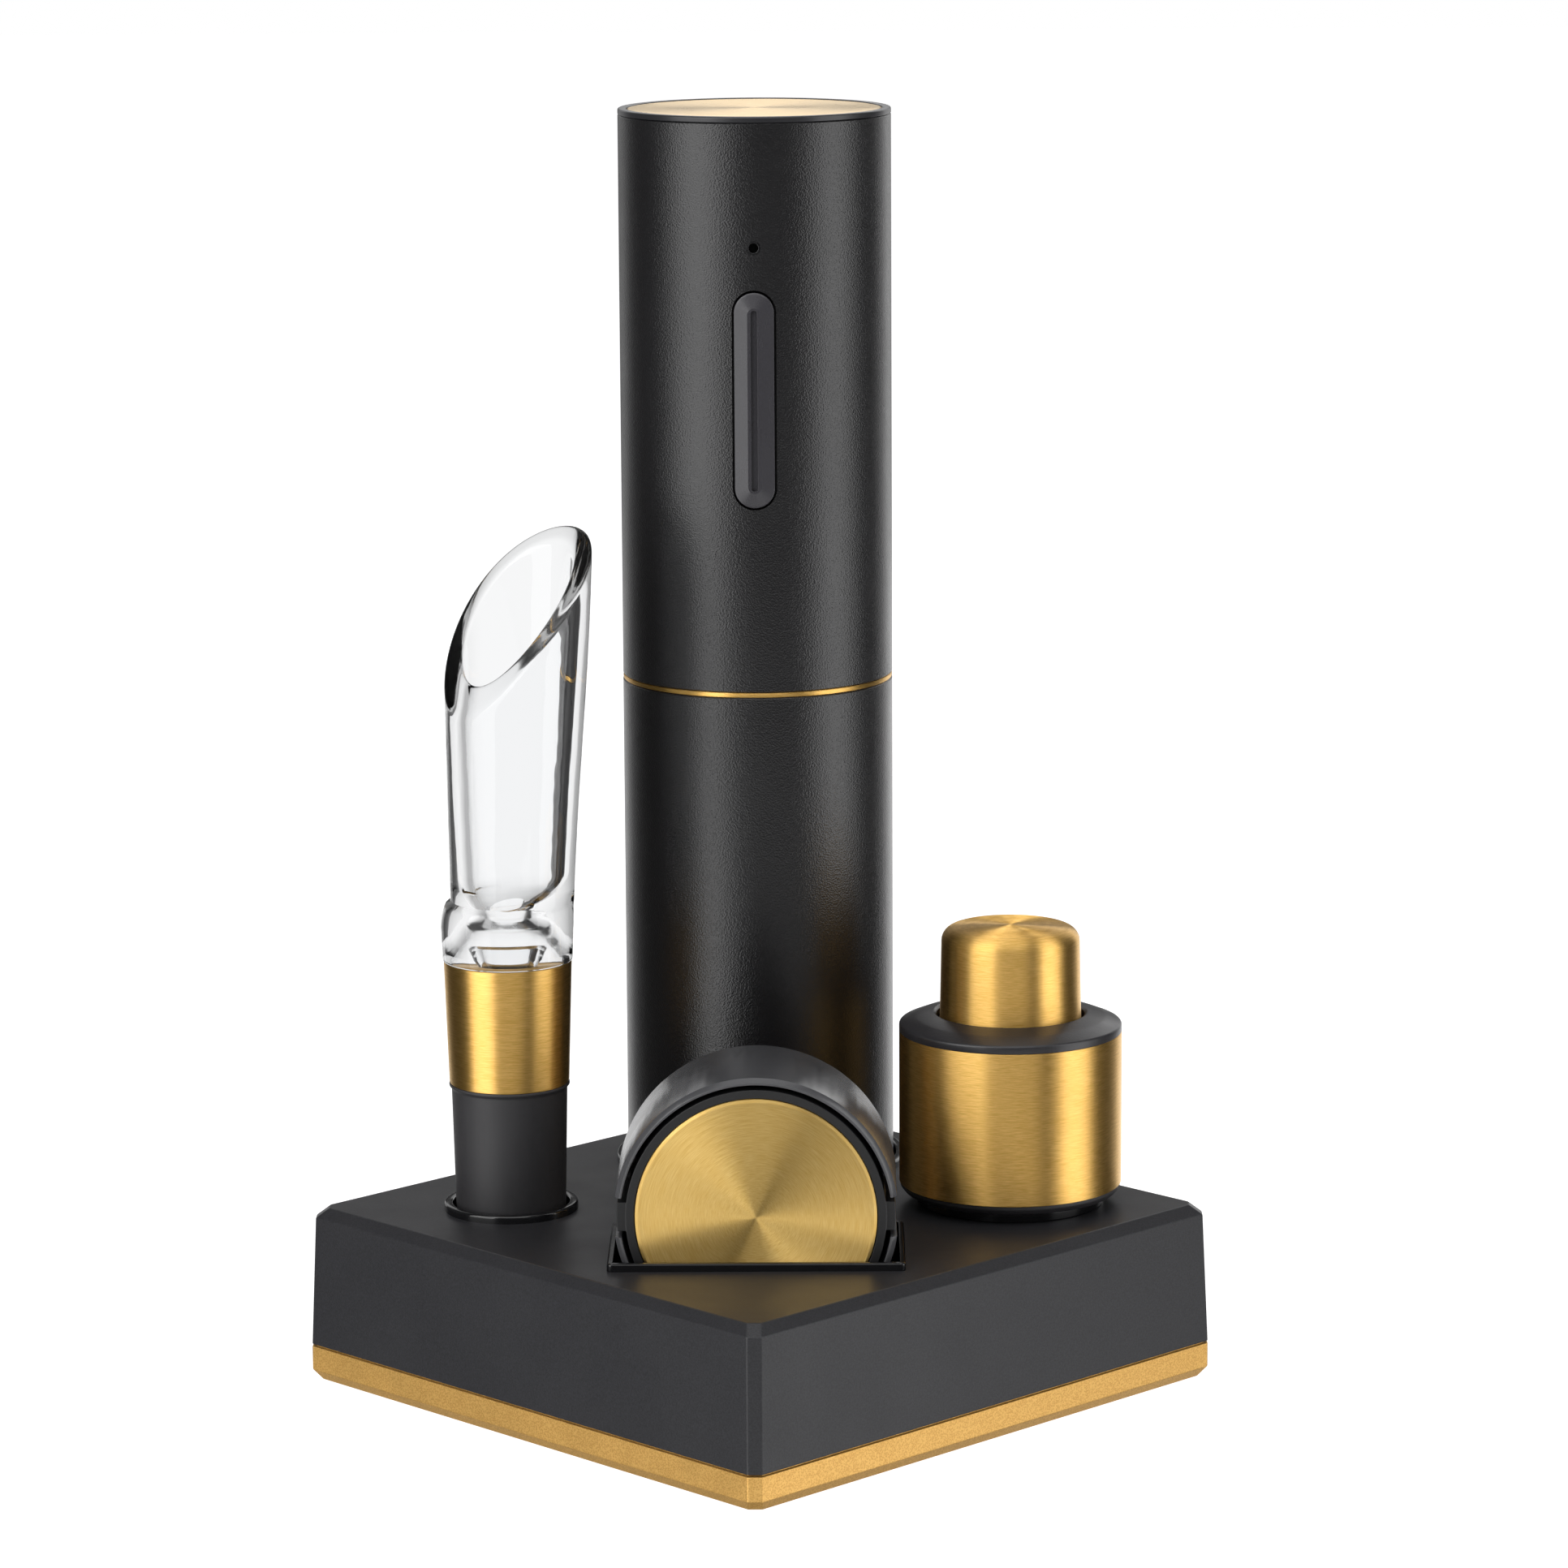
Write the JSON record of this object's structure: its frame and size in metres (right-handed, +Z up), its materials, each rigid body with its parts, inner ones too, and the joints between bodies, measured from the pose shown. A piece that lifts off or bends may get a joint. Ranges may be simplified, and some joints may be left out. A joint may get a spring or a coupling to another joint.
{
  "type": "electric wine opener",
  "caption": "Rechargeable cylindrical wine opener standing in a weighted square stand with a clear aerating pourer, a squeeze foil cutter and a pump bottle stopper.",
  "frame": {"origin": "centre of the square stand on the surface it stands on", "axes": "+Z up, one corner of the stand along -Y (the front), +X to the user's right"},
  "size_m": [0.1578, 0.1578, 0.2214],
  "materials": {
    "brushed_gold": "fine brushed",
    "painted_gold": "satin metallic paint",
    "soft_black": "fine leather-like soft touch",
    "stand_black": "fine satin",
    "gloss_black": "polished",
    "satin_black": "satin",
    "black_rubber": "matte",
    "clear_acrylic": "polished clear",
    "dark_steel": "machined",
    "bright_steel": "polished",
    "nylon": "moulded",
    "board_green": "solder mask",
    "cell_wrap": "shrink sleeve",
    "gear_brass": "cut",
    "inner_plastic": "moulded"
  },
  "bodies": {
    "stand": {"base_plate": "painted_gold", "stand_housing": "stand_black", "ballast_plate": "dark_steel", "rubber_feet": "black_rubber", "base_screws": "bright_steel", "opener_socket": "gloss_black", "aerator_socket": "gloss_black", "cutter_socket": "gloss_black", "stopper_post": "gloss_black"},
    "opener": {"upper_shell": "soft_black", "lower_shell": "soft_black", "accent_ring": "brushed_gold", "top_rim": "satin_black", "top_disc": "brushed_gold", "bottle_guide": "inner_plastic", "rocker_pin": "bright_steel", "rocker_bracket": "inner_plastic", "circuit_board": "board_green", "indicator_lens": "clear_acrylic", "charge_port": "bright_steel", "gearbox_housing": "nylon", "gearbox_cover": "nylon", "drive_motor": "dark_steel", "output_bush": "gear_brass", "motor_screws": "bright_steel", "chassis": "inner_plastic", "battery_cells": "cell_wrap"},
    "rocker": {"rocker_button": "satin_black"},
    "spindle": {"planet_carrier": "nylon", "screw_holder": "satin_black", "corkscrew": "bright_steel"},
    "pinion": {"motor_pinion": "gear_brass"},
    "planet_a": {"planet_gear_a": "nylon"},
    "planet_b": {"planet_gear_b": "nylon"},
    "planet_c": {"planet_gear_c": "nylon"},
    "aerator": {"aerator_plug": "black_rubber", "aerator_sleeve": "brushed_gold", "aerator_funnel": "clear_acrylic", "aerator_spout": "clear_acrylic"},
    "cutter": {"cutter_disc": "brushed_gold", "cutter_body": "satin_black", "upper_springs": "bright_steel", "lower_springs": "bright_steel"},
    "upper_jaw": {"upper_grip": "satin_black", "upper_wheel_pins": "bright_steel"},
    "lower_jaw": {"lower_grip": "satin_black", "lower_wheel_pins": "bright_steel"},
    "wheel_ul": {"upper_wheel_left": "bright_steel"},
    "wheel_ur": {"upper_wheel_right": "bright_steel"},
    "wheel_ll": {"lower_wheel_left": "bright_steel"},
    "wheel_lr": {"lower_wheel_right": "bright_steel"},
    "stopper": {"stopper_rim": "black_rubber", "stopper_sleeve": "brushed_gold", "stopper_collar": "satin_black", "bottle_seal": "black_rubber", "pump_cylinder": "inner_plastic", "air_valve": "black_rubber", "pump_spring": "bright_steel"},
    "pump": {"pump_cap": "brushed_gold", "pump_piston": "inner_plastic"}
  },
  "joints": [
    {"name": "opener_lift", "type": "slide", "parent": "stand", "child": "opener", "axis": [0, 0, 1], "range_m": [0, 0.12]},
    {"name": "rocker_tilt", "type": "hinge", "parent": "opener", "child": "rocker", "pos_m": [0, 0.0154, 0.1725], "axis": [1, 0, 0], "range_deg": [-1.6, 1.6], "stiffness_Nm_per_rad": 0.08},
    {"name": "spindle_spin", "type": "hinge", "parent": "opener", "child": "spindle", "pos_m": [0, 0.0338, 0.1213], "axis": [0, 0, 1], "continuous": true},
    {"name": "pinion_spin", "type": "hinge", "parent": "opener", "child": "pinion", "pos_m": [0, 0.0338, 0.1213], "axis": [0, 0, 1], "continuous": true},
    {"name": "planet_spin_a", "type": "hinge", "parent": "spindle", "child": "planet_a", "pos_m": [0, 0.0428, 0.1213], "axis": [0, 0, 1], "continuous": true},
    {"name": "planet_spin_b", "type": "hinge", "parent": "spindle", "child": "planet_b", "pos_m": [-0.00779, 0.0293, 0.1213], "axis": [0, 0, 1], "continuous": true},
    {"name": "planet_spin_c", "type": "hinge", "parent": "spindle", "child": "planet_c", "pos_m": [0.00779, 0.0293, 0.1213], "axis": [0, 0, 1], "continuous": true},
    {"name": "aerator_lift", "type": "slide", "parent": "stand", "child": "aerator", "axis": [0, 0, 1], "range_m": [0, 0.06]},
    {"name": "cutter_lift", "type": "slide", "parent": "stand", "child": "cutter", "axis": [0, 0, 1], "range_m": [0, 0.05]},
    {"name": "upper_squeeze", "type": "slide", "parent": "cutter", "child": "upper_jaw", "axis": [0, 0, -1], "range_m": [0, 0.0007], "stiffness_N_per_m": 1500, "springref_m": -0.0015, "deforming": ["upper_springs"]},
    {"name": "lower_squeeze", "type": "slide", "parent": "cutter", "child": "lower_jaw", "axis": [0, 0, 1], "range_m": [0, 0.0007], "stiffness_N_per_m": 1500, "springref_m": -0.0015, "deforming": ["lower_springs"]},
    {"name": "wheel_ur_spin", "type": "hinge", "parent": "upper_jaw", "child": "wheel_ur", "pos_m": [0.01196, -0.0235, 0.05505], "axis": [0, 1, 0], "continuous": true},
    {"name": "wheel_ul_spin", "type": "hinge", "parent": "upper_jaw", "child": "wheel_ul", "pos_m": [-0.01196, -0.0235, 0.05505], "axis": [0, 1, 0], "continuous": true},
    {"name": "wheel_ll_spin", "type": "hinge", "parent": "lower_jaw", "child": "wheel_ll", "pos_m": [-0.01196, -0.0235, 0.02655], "axis": [0, 1, 0], "continuous": true},
    {"name": "wheel_lr_spin", "type": "hinge", "parent": "lower_jaw", "child": "wheel_lr", "pos_m": [0.01196, -0.0235, 0.02655], "axis": [0, 1, 0], "continuous": true},
    {"name": "stopper_lift", "type": "slide", "parent": "stand", "child": "stopper", "axis": [0, 0, 1], "range_m": [0, 0.05]},
    {"name": "pump_press", "type": "slide", "parent": "stopper", "child": "pump", "axis": [0, 0, -1], "range_m": [0, 0.006], "stiffness_N_per_m": 600, "springref_m": -0.003, "deforming": ["pump_spring"]}
  ],
  "couplings": [
    {"joint": "pinion_spin", "follows": "spindle_spin", "ratio": 6},
    {"joint": "planet_spin_a", "follows": "spindle_spin", "ratio": -2.5},
    {"joint": "planet_spin_b", "follows": "spindle_spin", "ratio": -2.5},
    {"joint": "planet_spin_c", "follows": "spindle_spin", "ratio": -2.5},
    {"joint": "lower_squeeze", "follows": "upper_squeeze", "ratio": 1}
  ]
}
